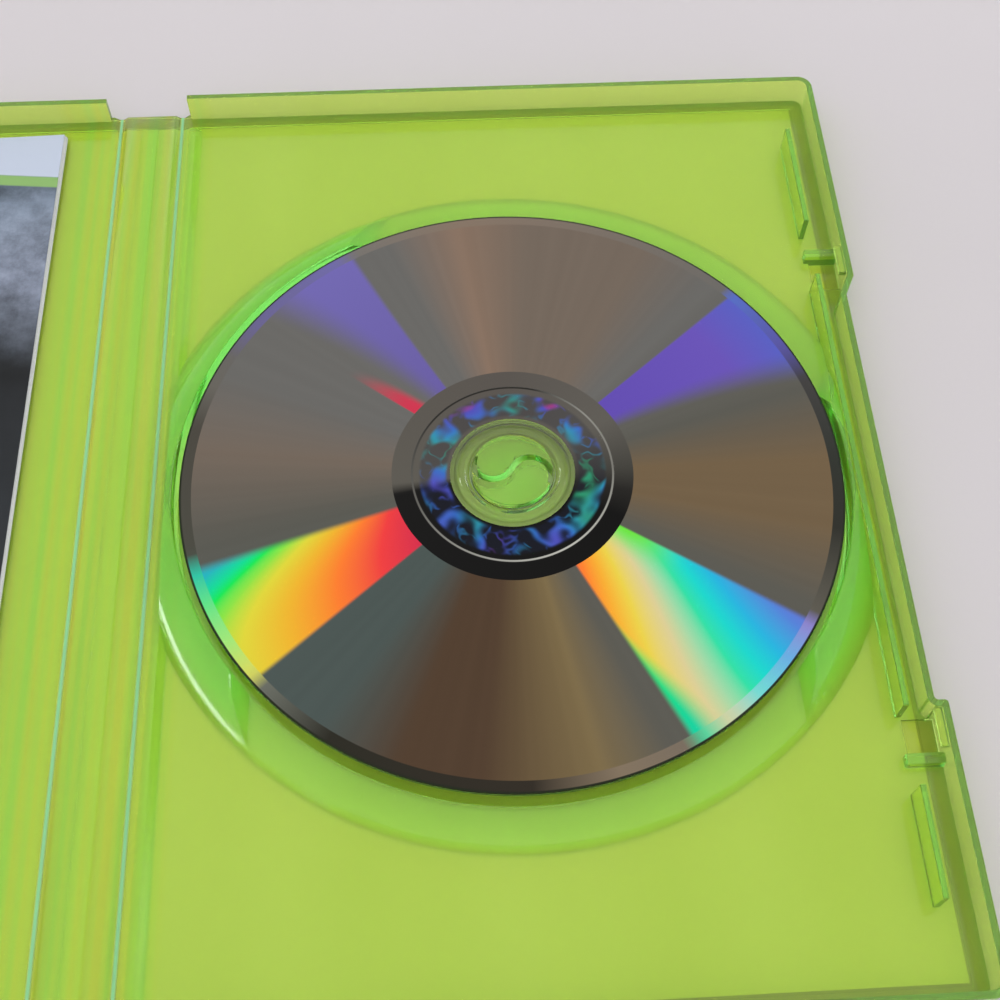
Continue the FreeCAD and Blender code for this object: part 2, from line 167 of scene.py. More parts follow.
class Shading:
    """Short forms for building one material's nodes."""

    def __init__(self, name):
        self.material = bpy.data.materials.new(name)
        self.material.use_nodes = True
        self.tree = self.material.node_tree
        self.surface = self.tree.nodes["Principled BSDF"]
        self.output = self.tree.nodes["Material Output"]

    def node(self, kind, **settings):
        made = self.tree.nodes.new(kind)
        for key, value in settings.items():
            setattr(made, key, value)
        return made

    def feed(self, socket, value):
        if isinstance(value, bpy.types.NodeSocket):
            self.tree.links.new(value, socket)
        else:
            socket.default_value = value

    def set(self, **values):
        """Sets the shader's sockets, named with underscores for spaces."""
        for key, value in values.items():
            self.feed(self.surface.inputs[key.replace("_", " ")], value)

    def place(self):
        return self.node("ShaderNodeTexCoord").outputs["Object"]

    def flat_place(self):
        """The place on a bending sheet as it lies flat, so that its marks stay on it when it bends."""
        return self.node("ShaderNodeAttribute", attribute_name=FLAT_PLACE).outputs["Vector"]

    def math(self, operation, first, second=0.0, third=0.0):
        made = self.node("ShaderNodeMath", operation=operation)
        for socket, value in zip(made.inputs, (first, second, third)):
            self.feed(socket, value)
        return made.outputs[0]

    def line(self, value, slope, start):
        """start + slope * value"""
        return self.math("MULTIPLY_ADD", value, slope, start)

    def parts(self, vector):
        made = self.node("ShaderNodeSeparateXYZ")
        self.feed(made.inputs[0], vector)
        return made.outputs

    def scaled(self, vector, scale):
        made = self.node("ShaderNodeVectorMath", operation="MULTIPLY")
        self.feed(made.inputs[0], vector)
        self.feed(made.inputs[1], scale)
        return made.outputs[0]

    def step(self, value, start, end):
        """A smooth step from 0 at start to 1 at end."""
        made = self.node("ShaderNodeMapRange", interpolation_type="SMOOTHSTEP")
        for key, entry in (("Value", value), ("From Min", start), ("From Max", end)):
            self.feed(made.inputs[key], entry)
        return made.outputs[0]

    def between(self, value, start, end, soft_start, soft_end):
        """1 between start and end, with a soft fade inside each."""
        rise = self.step(value, start, self.math("ADD", start, soft_start))
        fall = self.step(value, end, self.math("SUBTRACT", end, soft_end))
        return self.math("MULTIPLY", rise, fall)

    def noise(self, vector, scale, detail=3.0, roughness=0.55):
        made = self.node("ShaderNodeTexNoise")
        self.feed(made.inputs["Vector"], vector)
        self.feed(made.inputs["Scale"], scale)
        self.feed(made.inputs["Detail"], detail)
        self.feed(made.inputs["Roughness"], roughness)
        return made.outputs[0]

    def spread(self, value, low, high):
        """Takes a 0 to 1 value to the range from low to high."""
        return self.line(value, high - low, low)

    def ramp(self, value, *stops):
        made = self.node("ShaderNodeValToRGB")
        self.feed(made.inputs[0], value)
        elements = made.color_ramp.elements
        while len(elements) < len(stops):
            elements.new(1.0)
        for element, (place, colour) in zip(elements, stops):
            element.position = place
            element.color = (*colour, 1.0)
        return made.outputs[0]

    def mix(self, share, first, second, blend="MIX"):
        made = self.node("ShaderNodeMix", data_type="RGBA", blend_type=blend)
        for key, value in (("Factor", share), ("A", first), ("B", second)):
            self.feed(made.inputs[key], (*value, 1.0) if isinstance(value, tuple) else value)
        return made.outputs["Result"]

    def bump(self, height, distance, strength):
        made = self.node("ShaderNodeBump")
        self.feed(made.inputs["Height"], height)
        self.feed(made.inputs["Distance"], distance)
        self.feed(made.inputs["Strength"], strength)
        self.feed(self.surface.inputs["Normal"], made.outputs[0])

    def let_lamps_through(self, colour):
        """Rays from lamps pass straight through the clear material, tinted once per face."""
        clear = self.node("ShaderNodeBsdfTransparent")
        self.feed(clear.inputs[0], (*colour, 1.0))
        rays = self.node("ShaderNodeLightPath")
        mixed = self.node("ShaderNodeMixShader")
        self.feed(mixed.inputs[0], rays.outputs["Is Shadow Ray"])
        self.feed(mixed.inputs[1], self.surface.outputs[0])
        self.feed(mixed.inputs[2], clear.outputs[0])
        self.feed(self.output.inputs["Surface"], mixed.outputs[0])


class SkyShading(Shading):
    """The same for the world's nodes."""

    def __init__(self, world):
        self.tree = world.node_tree
        self.surface = self.tree.nodes["Background"]


def srgb(red, green, blue):
    """A colour as it shows on screen, in 0 to 255 steps, as linear values."""
    out = []
    for value in (red, green, blue):
        share = value / 255
        out.append(share / 12.92 if share <= 0.04045 else ((share + 0.055) / 1.055) ** 2.4)
    return tuple(out)


def new_piece(name, work, materials, smooth=False):
    """Makes a piece of the scene from a finished bmesh."""
    mesh = bpy.data.meshes.new(name)
    work.to_mesh(mesh)
    work.free()
    piece = bpy.data.objects.new(name, mesh)
    bpy.context.scene.collection.objects.link(piece)
    for material in materials:
        mesh.materials.append(material)
    for face in mesh.polygons:
        face.use_smooth = smooth
    return piece


# Materials

def green_plastic():
    """Clear green polypropylene, a little waxy, with faint flow marks, which turn to stripes along the
    hinges, and a pale crease in either hinge, stress whitening and in part a painted highlight. Thick
    places show a deeper green."""
    shading = Shading("green_plastic")
    place = shading.place()
    flow = shading.noise(shading.scaled(place, (40.0, 9.0, 40.0)), 1.0, 1.0)
    even = shading.ramp(flow, (0.3, (0.94, 0.98, 0.25)), (0.7, (0.97, 1.0, 0.28)))
    across = shading.noise(shading.scaled(place, (430.0, 2.0, 0.0)), 1.0, 2.0)
    stripes = shading.ramp(
        across, (0.36, (0.80, 1.0, 0.24)), (0.5, (0.93, 0.99, 0.22)), (0.64, (1.0, 0.96, 0.20)))
    x = shading.parts(place)[0]
    by_hinge = shading.between(x, STRIPES_START, STRIPES_END, STRIPES_RISE, STRIPES_FALL)
    # The pale crease: stress whitening, and in part a painted highlight along each hinge
    crease = 0.0
    for hinge in (tray_hinge, cover_hinge):
        off = shading.math("ABSOLUTE", shading.math("SUBTRACT", x, hinge.x))
        crease = shading.math("MAXIMUM", shading.step(off, CREASE, 0.2 * CREASE), crease)
    shading.set(
        Base_Color=shading.mix(crease, shading.mix(by_hinge, even, stripes), (0.40, 0.90, 0.44)),
        Roughness=shading.spread(flow, 0.06, 0.16),
        IOR=1.40,
        Transmission_Weight=shading.spread(crease, 0.9, 0.35),
    )
    depth = shading.node("ShaderNodeVolumeAbsorption")
    shading.feed(depth.inputs["Color"], (0.0, 1.0, 0.68, 1.0))
    shading.feed(depth.inputs["Density"], 135.0)
    shading.feed(shading.output.inputs["Volume"], depth.outputs[0])
    shading.let_lamps_through((0.894, 0.903, 0.50))
    return shading.material


def clear_film():
    """The sleeve's clear film, with faint ripples."""
    shading = Shading("sleeve_film")
    ripple = shading.noise(shading.scaled(shading.flat_place(), (30.0, 60.0, 30.0)), 1.0, 2.0)
    shading.set(
        Base_Color=(0.97, 0.98, 0.98, 1.0),
        Roughness=shading.spread(ripple, 0.03, 0.10),
        IOR=1.45,
        Transmission_Weight=1.0,
    )
    shading.let_lamps_through((0.97, 0.98, 0.98))
    return shading.material


def insert_paper():
    """The insert's white inside."""
    shading = Shading("insert_paper")
    fibre = shading.noise(shading.flat_place(), 2500.0, 3.0, 0.7)
    shading.set(
        Base_Color=shading.ramp(fibre, (0.3, (0.92, 0.92, 0.91)), (0.7, (0.96, 0.96, 0.95))),
        Roughness=0.65,
    )
    return shading.material


def polar(shading):
    """Radius in millimetres and angle in degrees about the disc's middle."""
    x, y, _ = shading.parts(shading.place())
    square = shading.math("ADD", shading.math("MULTIPLY", x, x), shading.math("MULTIPLY", y, y))
    radius = shading.math("MULTIPLY", shading.math("SQRT", square), 1 / MM)
    angle = shading.math("DEGREES", shading.math("ARCTAN2", y, x))
    return radius, shading.math("WRAP", angle, 360.0, 0.0)


def turn_ramp(shading, angle, *stops):
    """Colours round the disc from (angle in degrees, red, green, blue) stops."""
    turn = shading.math("DIVIDE", angle, 360.0)
    return shading.ramp(turn, *[(place / 360, srgb(*colour)) for place, *colour in stops])


def painted_data_reflection(shading, angle):
    """Painted reflection: the grey mirror with soft beams from tan to slate and umber, and fine radial
    streaks.
    """
    grey, dim, warm, tan = (104, 102, 98), (90, 88, 80), (114, 101, 89), (134, 111, 94)
    brown, olive, slate, umber = (112, 93, 68), (122, 104, 70), (74, 84, 80), (80, 61, 45)
    colour = turn_ramp(
        shading, angle,
        (0, *brown), (15, *dim), (46, *grey), (60, *warm), (84, *warm), (98, *tan), (112, *grey),
        (156, *grey), (173, *warm), (191, *dim), (221, *slate), (234, *slate), (248, *umber), (262, *umber),
        (281, *olive), (293, *dim), (330, *dim), (346, *brown), (360, *brown),
    )
    streak = shading.node("ShaderNodeTexNoise", noise_dimensions="1D")
    shading.feed(streak.inputs["W"], angle)
    shading.feed(streak.inputs["Scale"], 0.35)
    shading.feed(streak.inputs["Detail"], 3.0)
    grain = shading.ramp(streak.outputs[0], (0.3, (0.3, 0.3, 0.3)), (0.7, (0.7, 0.7, 0.7)))
    return shading.mix(0.07, colour, grain, "SOFT_LIGHT")


def painted_warm_wedge(shading, colour, reach, angle):
    """The left rainbow wedge, painted diffracted light: crimson at the hub to yellow at the rim, with green
    along its far side.
    """
    inside = shading.between(angle, WARM_START - 0.8, WARM_END + 0.4, 2.6, 1.2)
    across = shading.math("DIVIDE", shading.math("SUBTRACT", WARM_END, angle), WARM_END - WARM_START)
    along = shading.line(reach, 0.48, 0.02)
    hue = shading.math("MULTIPLY_ADD", across, shading.line(reach, 0.06, 0.08), along)
    far_side = shading.math("MULTIPLY", shading.math("POWER", across, 3.0), reach)
    hue = shading.math("MULTIPLY_ADD", far_side, 0.50, hue)
    band = shading.ramp(
        hue,
        (0.0, srgb(204, 42, 76)), (0.14, srgb(236, 62, 62)), (0.27, srgb(248, 124, 46)),
        (0.41, srgb(236, 178, 46)), (0.54, srgb(220, 210, 58)), (0.65, srgb(140, 222, 68)),
        (0.75, srgb(24, 226, 82)), (0.84, srgb(18, 214, 146)), (1.0, srgb(38, 176, 184)),
    )
    return shading.mix(inside, colour, band)


def painted_full_wedge(shading, colour, reach, angle):
    """The right rainbow wedge, painted diffracted light: every hue in slanted bands, lime at its hub end and
    green at its left rim.
    """
    inside = shading.between(angle, FULL_START - 0.4, FULL_END + 0.5, 1.6, 1.4)
    across = shading.math("DIVIDE", shading.math("SUBTRACT", angle, FULL_START), FULL_END - FULL_START)
    middle = shading.line(shading.math("MULTIPLY", reach, reach), 0.53, shading.line(reach, -1.15, 0.80))
    slope = shading.line(reach, 0.16, 0.46)
    hue = shading.line(shading.math("SUBTRACT", across, middle), slope, 0.42)
    band = shading.ramp(
        hue,
        (0.0, srgb(242, 88, 62)), (0.1, srgb(250, 128, 46)), (0.2, srgb(244, 172, 50)),
        (0.3, srgb(232, 206, 72)), (0.42, srgb(216, 202, 146)), (0.5, srgb(158, 212, 162)),
        (0.58, srgb(50, 218, 160)), (0.66, srgb(26, 210, 198)), (0.76, srgb(38, 176, 216)),
        (0.88, srgb(84, 128, 210)), (1.0, srgb(112, 92, 196)),
    )
    lime = shading.math("MULTIPLY", shading.step(across, 0.60, 1.0), shading.step(reach, 0.40, 0.05))
    band = shading.mix(lime, band, srgb(108, 224, 62))
    late = shading.step(reach, 0.2, 1.0)
    fringe = shading.step(across, shading.line(late, 0.18, 0.03), shading.line(late, 0.12, -0.07))
    fringe = shading.math("MULTIPLY", fringe, shading.step(reach, 0.15, 0.45))
    green = shading.ramp(
        reach, (0.3, srgb(120, 214, 70)), (0.55, srgb(28, 220, 100)), (1.0, srgb(22, 204, 156)))
    return shading.mix(inside, colour, shading.mix(fringe, band, green))


def painted_violet_wedges(shading, colour, reach, angle):
    """Two violet wedges, each crisp on one side only, and a red streak beside the second, all painted
    diffracted light.
    """
    inside = shading.between(angle, shading.line(reach, -6.0, 23.0), 40.6, 8.0, 0.8)
    violet = shading.ramp(
        reach, (0.0, srgb(97, 75, 172)), (0.7, srgb(104, 82, 178)), (1.0, srgb(88, 94, 188)))
    colour = shading.mix(inside, colour, violet)
    start, end = shading.line(reach, -1.5, 120.6), shading.line(reach, 8.0, 134.0)
    inside = shading.between(angle, start, end, 1.5, 11.0)
    violet = shading.ramp(reach, (0.0, srgb(104, 92, 158)), (1.0, srgb(112, 102, 172)))
    colour = shading.mix(inside, colour, violet)
    inside = shading.between(angle, shading.line(reach, 12.0, 133.6), 143.2, 4.5, 1.0)
    inside = shading.math("MULTIPLY", inside, shading.step(reach, 0.45, 0.02))
    return shading.mix(inside, colour, srgb(204, 54, 78))


def mirror_finish(shading, colour):
    """Polished plastic over the metal layer, with faint smears."""
    smear = shading.noise(shading.place(), 45.0, 4.0)
    shading.set(
        Base_Color=colour,
        Metallic=1.0,
        Roughness=shading.spread(smear, 0.14, 0.26),
        Coat_Weight=0.1,
        Coat_Roughness=0.04,
    )
    return shading.material


def disc_data_painted_light():
    """The data zone with its painted reflection and its rainbow wedges of painted diffracted light."""
    shading = Shading("disc_data_painted_light")
    radius, angle = polar(shading)
    reach = shading.math("DIVIDE", shading.math("SUBTRACT", radius, DATA_START), DATA_END - DATA_START)
    colour = painted_data_reflection(shading, angle)
    for wedge in (painted_warm_wedge, painted_full_wedge, painted_violet_wedges):
        colour = wedge(shading, colour, reach, angle)
    return mirror_finish(shading, colour)


def disc_rim_painted_reflection():
    """The uncoated rim, a painted reflection of its surroundings which, paler, goes on with the painted
    wedges, with a painted dark line of shade at its edge."""
    shading = Shading("disc_rim_painted_reflection")
    radius, angle = polar(shading)
    rim = turn_ramp(
        shading, angle,
        (0, 50, 52, 46), (18, 66, 64, 62), (26, 88, 84, 156), (40, 86, 108, 190), (42, 106, 103, 98),
        (98, 132, 114, 98), (119, 116, 112, 106), (123, 110, 104, 162), (144, 104, 98, 138),
        (152, 102, 99, 94), (159, 102, 98, 90), (168, 74, 70, 62), (194, 74, 73, 64),
        (198, 44, 190, 160), (204, 96, 222, 132), (212, 160, 226, 116), (219, 212, 212, 92),
        (222, 104, 106, 96), (236, 44, 42, 34), (270, 50, 44, 36), (284, 128, 112, 92), (296, 118, 106, 92),
        (299, 60, 204, 150), (304, 204, 204, 158), (311, 112, 212, 204), (319, 104, 170, 218),
        (326, 140, 132, 202), (329, 92, 88, 78), (346, 48, 48, 42), (360, 50, 52, 46),
    )
    # A painted dark line of shade along the rim's edge
    line = shading.step(radius, RIM_LINE, RIM_LINE + 0.2)
    return mirror_finish(shading, shading.mix(line, rim, srgb(38, 42, 30)))


def hologram(shading, painted_mirror_ground):
    """Broken curved strokes, broad ones over fine ones, their shifting colours painted diffracted light."""
    place = shading.place()
    mark = 0.0
    for scale, width, weight in ((150.0, 0.11, 0.85), (300.0, 0.06, 0.4)):
        swirl = shading.noise(place, scale, 1.0)
        stroke = shading.step(shading.math("ABSOLUTE", shading.math("SUBTRACT", swirl, 0.5)), width, 0.0)
        gaps = shading.step(shading.noise(place, scale * 1.3, 0.0), 0.40, 0.60)
        stroke = shading.math("MULTIPLY", shading.math("MULTIPLY", stroke, gaps), weight)
        mark = shading.math("MAXIMUM", stroke, mark)
    colour = shading.ramp(
        shading.noise(place, 110.0, 0.0),
        (0.22, srgb(170, 52, 108)), (0.28, srgb(84, 80, 190)), (0.42, srgb(58, 112, 200)),
        (0.54, srgb(48, 150, 178)), (0.68, srgb(48, 152, 112)),
    )
    # The band's ground is the painted reflection round the hub, darkened towards navy
    painted_band_ground = shading.mix(0.35, painted_mirror_ground, srgb(30, 34, 52))
    return shading.mix(mark, painted_band_ground, colour)


def painted_hub_zone():
    """The plain mirror round the hub, its painted reflection black on the near side and brownish grey on the
    far one, with the hologram inside its stacking ring."""
    shading = Shading("disc_hub_painted_reflection")
    radius, angle = polar(shading)
    mirror = turn_ramp(
        shading, angle,
        (0, 66, 64, 58), (30, 94, 90, 83), (90, 88, 82, 76), (184, 92, 88, 80), (190, 24, 23, 22),
        (332, 18, 17, 16), (347, 38, 36, 33), (360, 66, 64, 58),
    )
    in_band = shading.between(radius, BAND_START, BAND_END, 0.8, 0.8)
    colour = shading.mix(in_band, mirror, hologram(shading, mirror))
    # Painted highlight and shade along the stacking ring, bright at the lower right and dark at the far side
    ring = turn_ramp(
        shading, angle,
        (0, 120, 118, 110), (40, 140, 138, 130), (75, 40, 38, 34), (140, 44, 42, 38), (200, 100, 98, 92),
        (300, 190, 188, 178), (360, 120, 118, 110),
    )
    on_ring = shading.between(radius, RING_START, RING_END, 0.15, 0.15)
    return mirror_finish(shading, shading.mix(on_ring, colour, ring))


def disc_edge_painted_shade():
    """The disc's cut edge: clear plastic drawn opaque with painted shade for the dark it shows, with the bond
    line between its two halves.
    """
    shading = Shading("disc_edge_painted_shade")
    level = shading.parts(shading.place())[2]
    bond = shading.between(level, -0.75 * MM, -0.45 * MM, 0.1 * MM, 0.1 * MM)
    shading.set(
        Base_Color=shading.mix(bond, srgb(26, 34, 16), srgb(120, 150, 84)),
        Roughness=0.12,
        Specular_IOR_Level=0.5,
    )
    return shading.material


def disc_label():
    """The label side, a plain pale print with fine rings."""
    shading = Shading("disc_label")
    radius, _ = polar(shading)
    rings = shading.math("PINGPONG", radius, 0.4)
    shading.set(
        Base_Color=shading.ramp(rings, (0.0, (0.70, 0.71, 0.72)), (0.4, (0.76, 0.77, 0.78))),
        Roughness=0.4,
    )
    return shading.material


def clear_plastic():
    """The clear middle of the disc."""
    shading = Shading("disc_clear")
    haze = shading.noise(shading.place(), 700.0, 2.0)
    shading.set(
        Base_Color=(0.93, 0.96, 0.92, 1.0),
        Roughness=shading.spread(haze, 0.02, 0.08),
        IOR=1.45,
        Transmission_Weight=1.0,
    )
    shading.let_lamps_through((0.96, 0.97, 0.96))
    return shading.material


def misty_print(shading, place, width, height):
    """A plain misty print: a pale head over a slanted green rule, then mottled mist and a black foot."""
    x, y, _ = shading.parts(place)
    on_sheet = shading.scaled(place, (1.0, 1.0, 0.0))
    cloud = shading.noise(on_sheet, 42.0, 5.0, 0.6)
    slant = shading.line(shading.math("SUBTRACT", x, width / 2), 0.12, y)
    level = shading.math("DIVIDE", slant, height / 2)
    misty = shading.line(shading.math("SUBTRACT", cloud, 0.5), 0.22, level)
    print_colour = shading.ramp(
        shading.spread(misty, 0.5, 1.0),
        (0.66, srgb(30, 31, 30)), (0.70, srgb(54, 58, 64)), (0.74, srgb(100, 106, 118)),
        (0.78, srgb(126, 133, 149)), (0.86, srgb(128, 138, 154)), (0.91, srgb(88, 99, 112)),
    )
    mottle = shading.noise(on_sheet, 80.0, 6.0, 0.7)
    mottle = shading.ramp(mottle, (0.36, (0.08, 0.08, 0.08)), (0.64, (0.92, 0.92, 0.92)))
    print_colour = shading.mix(0.55, print_colour, mottle, "OVERLAY")
    stain = shading.noise(place, 26.0, 4.0)
    foot = shading.ramp(stain, (0.35, srgb(14, 15, 16)), (0.65, srgb(40, 43, 46)))
    print_colour = shading.mix(shading.step(misty, 0.40, 0.30), print_colour, foot)
    print_colour = shading.mix(shading.step(level, 0.862, 0.868), print_colour, srgb(192, 200, 216))
    rule = shading.between(level, 0.832, 0.868, 0.006, 0.006)
    return shading.mix(rule, print_colour, srgb(138, 178, 104))


def booklet_print():
    """Coated paper with the misty print."""
    shading = Shading("booklet_print")
    place = shading.place()
    mist = misty_print(shading, place, BOOKLET_WIDTH, BOOKLET_HEIGHT)
    grain = shading.noise(place, 1800.0, 2.0)
    shading.set(Base_Color=mist, Roughness=shading.spread(grain, 0.28, 0.42), Specular_IOR_Level=0.2)
    shading.bump(grain, 0.01 * MM, 0.3)
    return shading.material


def page_paper():
    """Uncoated white page paper."""
    shading = Shading("page_paper")
    fibre = shading.noise(shading.place(), 2200.0, 3.0, 0.7)
    shading.set(
        Base_Color=shading.ramp(fibre, (0.3, (0.74, 0.74, 0.73)), (0.7, (0.84, 0.84, 0.83))),
        Roughness=0.7,
    )
    shading.bump(fibre, 0.02 * MM, 0.4)
    return shading.material


def insert_print():
    """The insert's printed outside, with a plain spine."""
    shading = Shading("insert_print")
    place = shading.flat_place()
    mist = misty_print(shading, place, 2 * INSERT_WIDTH, INSERT_HEIGHT)
    x, y, _ = shading.parts(place)
    on_spine = shading.between(x, cover_hinge.x, tray_hinge.x, 0.2 * MM, 0.2 * MM)
    rise = shading.step(y, -INSERT_HEIGHT / 2, INSERT_HEIGHT / 2)
    band = shading.ramp(rise, (0.0, srgb(40, 46, 52)), (1.0, srgb(150, 172, 150)))
    grain = shading.noise(place, 1800.0, 2.0)
    colour = shading.mix(on_spine, mist, band)
    shading.set(Base_Color=colour, Roughness=shading.spread(grain, 0.28, 0.42))
    return shading.material


def staple_steel():
    """Bright drawn wire, with fine marks along it."""
    shading = Shading("staple_steel")
    drawn = shading.noise(shading.scaled(shading.place(), (3000.0, 200.0, 3000.0)), 1.0, 2.0)
    shading.set(
        Base_Color=shading.ramp(drawn, (0.3, (0.52, 0.52, 0.53)), (0.7, (0.72, 0.72, 0.73))),
        Metallic=1.0,
        Roughness=shading.spread(drawn, 0.2, 0.4),
    )
    return shading.material


def pale_floor():
    """The plain table top."""
    shading = Shading("pale_floor")
    grain = shading.noise(shading.place(), 6.0, 3.0)
    shading.set(
        Base_Color=shading.ramp(grain, (0.3, (0.615, 0.57, 0.58)), (0.7, (0.64, 0.595, 0.605))),
        Roughness=0.55,
    )
    return shading.material


# Disc

def lathe(name, profile, segments, materials, slot_of):
    """A closed ring turned from a closed (radius, height) profile about the disc's axis."""
    work = bmesh.new()
    columns = []
    for i in range(segments):
        angle = 2 * math.pi * i / segments
        columns.append([work.verts.new((r * math.cos(angle), r * math.sin(angle), z)) for r, z in profile])
    count = len(profile)
    for i in range(segments):
        here, ahead = columns[i], columns[(i + 1) % segments]
        for k in range(count):
            after = (k + 1) % count
            face = work.faces.new((here[k], ahead[k], ahead[after], here[after]))
            face.material_index = slot_of(profile[k], profile[after])
    bmesh.ops.recalc_face_normals(work, faces=work.faces)
    piece = new_piece(name, work, materials, smooth=True)
    piece.data.set_sharp_from_angle(angle=TURNED_SHARP_ANGLE)
    piece.location = disc_hub
    return piece


def ring_ridge(middle, width, height, steps=6):
    """A rounded ridge, or a groove if its height is negative, as (radius, height) points going outward."""
    points = []
    for i in range(steps + 1):
        share = i / steps
        points.append((middle + width * (share - 0.5), height * math.sin(math.pi * share)))
    return points


def add_disc_body():
    """The disc round its clear middle, with a material for each zone of its face, its edge and its label."""
    edge = DISC_EDGE_ROUND
    outer = disc_radius
    bottom = -DISC_THICKNESS
    inner = CLEAR_RADIUS + CLEAR_SEAM
    top = [(inner, 0.0)] + ring_ridge(*FINE_RING) + ring_ridge(*STACKING_RING, steps=8)
    top += [(r * MM, 0.0) for r in (DATA_START, DATA_MIDDLE, DATA_END)]
    top += [(outer - edge, 0.0), (outer - 0.3 * edge, -0.3 * edge), (outer, -edge)]
    low = [(outer, bottom + edge), (outer - edge, bottom), (inner, bottom)]

    def slot_of(start, end):
        """The material of one stretch of the profile, by its place in the list below."""
        if max(start[1], end[1]) <= bottom:
            return 4
        if min(start[1], end[1]) < -0.5 * edge:
            return 3
        middle = (start[0] + end[0]) / 2 / MM
        return (middle > DATA_START) + (middle > DATA_END)

    materials = [painted_hub_zone(), disc_data_painted_light(), disc_rim_painted_reflection(), disc_edge_painted_shade(), disc_label()]
    disc = lathe("disc_body", top + low, DISC_SEGMENTS, materials, slot_of)
    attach(disc, "tray")
    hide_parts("disc")


def add_disc_middle():
    """The disc's clear middle with its two rings."""
    bottom = -DISC_THICKNESS
    inner = CLEAR_RADIUS - CLEAR_SEAM
    rounded = HOLE_RADIUS + HOLE_CHAMFER
    top = [(HOLE_RADIUS, -HOLE_CHAMFER), (rounded, 0.0)]
    for ring in CLEAR_RINGS:
        top += ring_ridge(*ring, steps=8)
    top += [(inner, 0.0)]
    low = [(inner, bottom), (rounded, bottom), (HOLE_RADIUS, bottom + HOLE_CHAMFER)]
    clear = lathe("disc_clear_middle", top + low, CLEAR_SEGMENTS, [clear_plastic()], lambda start, end: 0)
    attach(clear, "tray")


# Paper and film sheets that reach across the hinges

def sheet_outline(x_outer, half_length, corner, with_notch):
    """The outline of one sheet from the middle of the spine to the opening edge, as (x, y) points."""
    side = 1 if x_outer > 0 else -1
    points = [(0.0, -half_length)]
    steps = CORNER_STEPS if corner else 0
    for i in range(steps + 1):
        angle = -math.pi / 2 + math.pi / 2 * i / max(steps, 1)
        points.append((x_outer + side * corner * (math.cos(angle) - 1),
                       -half_length + corner * (1 + math.sin(angle))))
    if with_notch:
        inner = x_outer - side * NOTCH_DEPTH
        points += [(x_outer, NOTCH_NEAR), (inner, NOTCH_NEAR)]
        points += [(inner, NOTCH_FAR - NOTCH_LEAD), (x_outer, NOTCH_FAR)]
    for i in range(steps + 1):
        angle = math.pi / 2 * i / max(steps, 1)
        points.append((x_outer + side * corner * (math.cos(angle) - 1),
                       half_length + corner * (math.sin(angle) - 1)))
    points.append((0.0, half_length))
    return points


def bending_sheet(name, outline, hinge_x, low, high, materials):
    """A thin slab with close columns across one hinge. A second material is its underside."""
    work = bmesh.new()
    work.faces.new([work.verts.new((x, y, low)) for x, y in outline])
    for i in range(BEND_STEPS + 1):
        x = hinge_x + HINGE_BEND * (2 * i / BEND_STEPS - 1)
        geometry = work.verts[:] + work.edges[:] + work.faces[:]
        bmesh.ops.bisect_plane(work, geom=geometry, plane_co=(x, 0, 0), plane_no=(1, 0, 0))
    made = bmesh.ops.extrude_face_region(work, geom=work.faces[:])["geom"]
    raised = [part for part in made if isinstance(part, bmesh.types.BMVert)]
    bmesh.ops.translate(work, vec=(0, 0, high - low), verts=raised)
    bmesh.ops.recalc_face_normals(work, faces=work.faces)
    if len(materials) > 1:
        for face in work.faces:
            face.material_index = 1 if face.normal.z < -0.5 else 0
    sheet = new_piece(name, work, materials)
    flat = sheet.data.attributes.new(FLAT_PLACE, "FLOAT_VECTOR", "POINT")
    for entry, vertex in zip(flat.data, sheet.data.vertices):
        entry.vector = vertex.co
    return sheet


def add_sheets():
    """The insert and the film, each as one sheet per half that reaches to the middle of the spine."""
    paper = [insert_paper(), insert_print()]
    film = [clear_film()]
    paper_low, paper_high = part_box("insert_back")
    film_low, film_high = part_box("sleeve_back")
    for side, hinge, half, panel in ((1, tray_hinge, "tray", "back"), (-1, cover_hinge, "cover", "front")):
        on_tray = half == "tray"
        outline = sheet_outline(side * paper_high.x, paper_high.y, 0.0, False)
        low, high = paper_low.z + HAIR, paper_high.z - HAIR
        sheet = bending_sheet("insert_" + half, outline, hinge.x, low, high, paper)
        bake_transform(sheet)
        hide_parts(*(["insert_" + panel] + (["insert_spine"] if on_tray else [])))
        outline = sheet_outline(side * film_high.x, film_high.y, FILM_CORNER, on_tray)
        sheet = bending_sheet("sleeve_" + half, outline, hinge.x, film_low.z, film_high.z - HAIR, film)
        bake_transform(sheet)
        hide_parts(*(["sleeve_" + panel] + (["sleeve_spine"] if on_tray else [])))


# Booklet

def leaf_lift(x, y, share):
    """How far a leaf's free edge has sprung up, most at its upper corner. share is 1 on the top leaf."""
    along = max(0.0, (x - LIFT_START) / (BOOKLET_WIDTH / 2 - LIFT_START))
    corner = 0.6 + 0.4 * y / (BOOKLET_HEIGHT / 2)
    return LIFT_HEIGHT * share ** 2 * corner * along ** 2


def booklet_leaf(work, path, share, slot):
    """One bent sheet from (x, low z, high z) stations, closed at its edges."""
    rows = LEAF_ROWS
    grid = []
    for x, low, high in path:
        column = []
        for k in range(rows + 1):
            y = BOOKLET_HEIGHT * (k / rows - 0.5)
            lift = leaf_lift(x, y, share)
            column.append((work.verts.new((x, y, low + lift)), work.verts.new((x, y, high + lift))))
        grid.append(column)

    def face(*corners):
        made = work.faces.new(corners)
        made.material_index = slot

    for a, b in zip(grid, grid[1:]):
        for k in range(rows):
            face(a[k][1], b[k][1], b[k + 1][1], a[k + 1][1])
            face(a[k][0], a[k + 1][0], b[k + 1][0], b[k][0])
        face(a[0][0], b[0][0], b[0][1], a[0][1])
        face(a[rows][0], a[rows][1], b[rows][1], b[rows][0])
    for column in (grid[0], grid[-1]):
        for k in range(rows):
            face(column[k][0], column[k][1], column[k + 1][1], column[k + 1][0])


